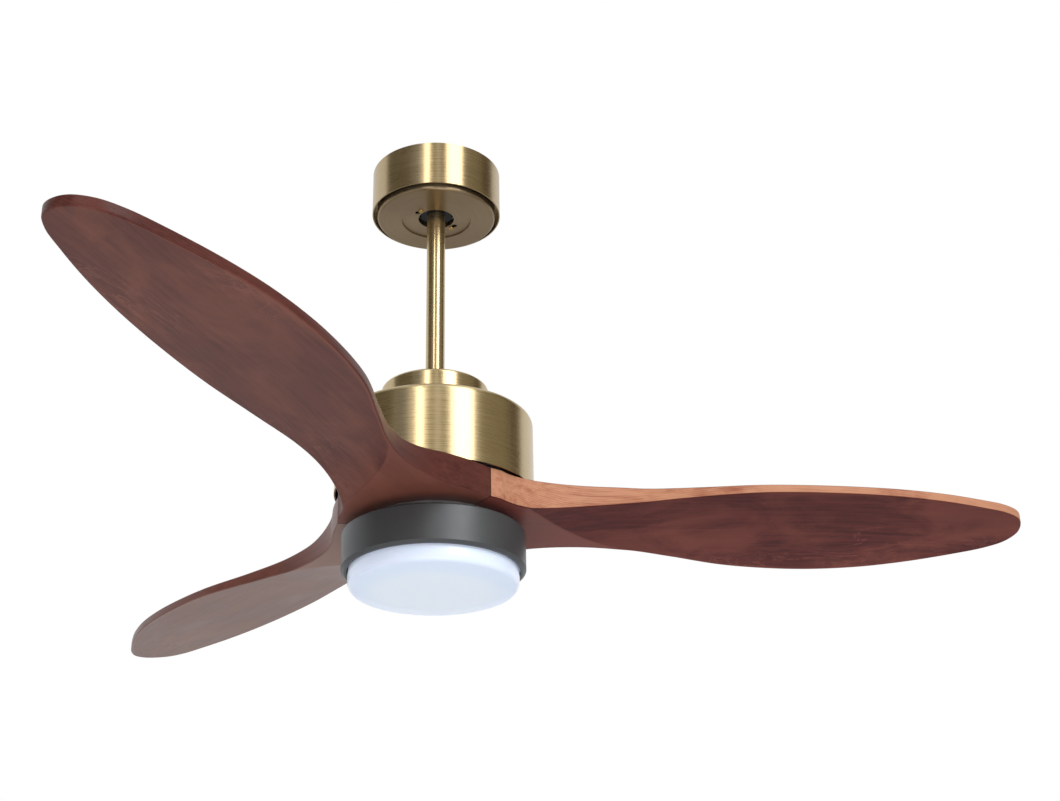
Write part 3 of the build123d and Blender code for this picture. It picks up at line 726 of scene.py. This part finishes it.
SOFT_BOXES = (
    SoftBox("key", 36.0, 30.0, 3.2, (1.3, 2.4), 50.0),
    SoftBox("strip_left", -13.0, 28.0, 3.2, (0.40, 2.4), 16.0, (1.0, 0.95, 0.88)),
    SoftBox("low_front", 5.0, -42.0, 2.6, (2.4, 1.6), 24.0),
)
CARDS = (
    Card("flag_right", 74.0, 3.3, 2.4, (0.34, 0.31, 0.23)),
    Card("flag_far_right", 107.0, 3.3, 1.3, (0.12, 0.085, 0.04)),
    Card("flag_left", -66.0, 3.3, 2.9, (0.16, 0.14, 0.10)),
    Card("flag_grey", -33.0, 3.3, 0.7, (0.30, 0.31, 0.34)),
    Card("flag_middle", 0.0, 3.6, 0.42, (0.42, 0.37, 0.27)),
    Card("flag_inner", 15.0, 3.6, 0.50, (0.34, 0.30, 0.21)),
)


def flat_card(name: str, width: float, depth: float, level: float = 0.0) -> bpy.types.Mesh:
    """Returns a flat rectangle round the Z axis, in metres."""
    mesh = bpy.data.meshes.new(name)
    x, y = width / 2, depth / 2
    corners = [(-x, -y, level), (x, -y, level), (x, y, level), (-x, y, level)]
    mesh.from_pydata(corners, [], [(0, 1, 2, 3)])
    return mesh


@dataclass
class Studio:
    """Floor, soft boxes, toned cards, white surroundings and the camera. Metres and degrees."""

    target: tuple[float, float, float] = (0.0, 0.0, -0.36)
    floor_level: float = -2.35
    floor_width: float = 18.0
    floor_colour: Colour = (0.82, 0.82, 0.82)
    soft_grey: Colour = (0.62, 0.62, 0.63)
    white: Colour = (1.0, 1.0, 1.0)
    view_heading: float = 7.965
    view_pitch: float = 25.584
    view_roll: float = -1.231
    view_place: tuple[float, float, float] = (-0.1218, -1.6725, -1.0933)
    lens: float = 57.11
    shift: tuple[float, float] = (-0.0053, -0.0011)

    def floor(self) -> None:
        """A wide pale floor."""
        mesh = flat_card("studio_floor", self.floor_width, self.floor_width, self.floor_level)
        g = Graph("studio_floor")
        g.set(Base_Color=self.floor_colour, Roughness=0.7)
        new_piece("studio_floor", mesh, g.material)

    def light(self, box: SoftBox) -> None:
        """Adds one soft box that faces the fan."""
        data = bpy.data.lights.new(box.name, "AREA")
        data.shape = "RECTANGLE"
        data.size, data.size_y = box.size
        data.energy = box.power
        data.color = box.tint
        lamp = bpy.data.objects.new(box.name, data)
        bpy.context.scene.collection.objects.link(lamp)
        lamp.matrix_world = self.facing(box.bearing, box.rise, box.distance)

    def facing(self, bearing: float, rise: float, distance: float) -> Matrix:
        """Returns the place and turn of something that faces the fan.

        Args:
            bearing: degrees to the right of the camera's side, seen from the fan.
            rise: degrees above level.
            distance: from the fan.

        Returns:
            The matrix, with its own Z away from the fan.
        """
        turn = math.radians(-90.0 + bearing - self.view_heading)
        lift = math.radians(rise)
        level = math.cos(lift)
        out = Vector((math.cos(turn) * level, math.sin(turn) * level, math.sin(lift)))
        place = Vector(self.target) + out * distance
        return Matrix.Translation(place) @ out.to_track_quat("Z", "Y").to_matrix().to_4x4()

    def flag(self, card: Card) -> None:
        """Adds one toned card that faces the fan."""
        g = Graph(card.name)
        g.set(Base_Color=(0.0, 0.0, 0.0), Emission_Color=card.shade, Emission_Strength=1.0,
              Roughness=1.0, Specular_IOR_Level=0.0)
        piece = new_piece(card.name, flat_card(card.name, card.width, card.height), g.material)
        piece.matrix_world = self.facing(card.bearing, card.rise, card.distance)
        piece.visible_camera = False
        piece.visible_diffuse = False
        piece.visible_shadow = False

    def surroundings(self) -> None:
        """White to the camera and to mirrors, a soft grey to everything else."""
        g = Sky("surroundings")
        bpy.context.scene.world = g.world
        seen = g.node("ShaderNodeLightPath", {}, {}, "Is Camera Ray")
        for kind in ("Is Glossy Ray", "Is Transmission Ray"):
            seen = seen.either(g.node("ShaderNodeLightPath", {}, {}, kind))
        g.set(Color=g.mix(seen, self.soft_grey, self.white), Strength=1.0)

    def camera(self) -> None:
        """Sets up the camera."""
        data = bpy.data.cameras.new("camera")
        data.lens = self.lens
        data.sensor_width = 36.0
        data.shift_x, data.shift_y = self.shift
        data.clip_end = 50.0
        eye = bpy.data.objects.new("camera", data)
        bpy.context.scene.collection.objects.link(eye)
        turn = (Matrix.Rotation(math.radians(-self.view_heading), 4, "Z")
                @ Matrix.Rotation(math.radians(90.0 + self.view_pitch), 4, "X")
                @ Matrix.Rotation(math.radians(self.view_roll), 4, "Z"))
        eye.matrix_world = Matrix.Translation(self.view_place) @ turn
        bpy.context.scene.camera = eye

    def build(self) -> None:
        """Builds the whole studio."""
        self.floor()
        self.surroundings()
        self.camera()
        for box in SOFT_BOXES:
            self.light(box)
        for card in CARDS:
            self.flag(card)
        bpy.context.scene.view_settings.view_transform = "Standard"
        log.info("studio ready")


# ------------------------------------------------------------------ the whole fan
def main() -> None:
    """Builds the looks of the fan."""
    logging.basicConfig(level=logging.INFO, format="%(message)s")
    Studio().build()
    dress_cad_nodes()
    for number in range(1, 4):
        blade = Blade(number)
        heading = 2 * math.pi / blade.count * (number - 1)
        timber = list(Timber)[number - 1]
        piece = blade.build(StainedWood(f"walnut_wood_{number}", 1.7 * number, timber, heading))
        log.info("built %s", piece.name)


if __name__ == "__main__":
    main()
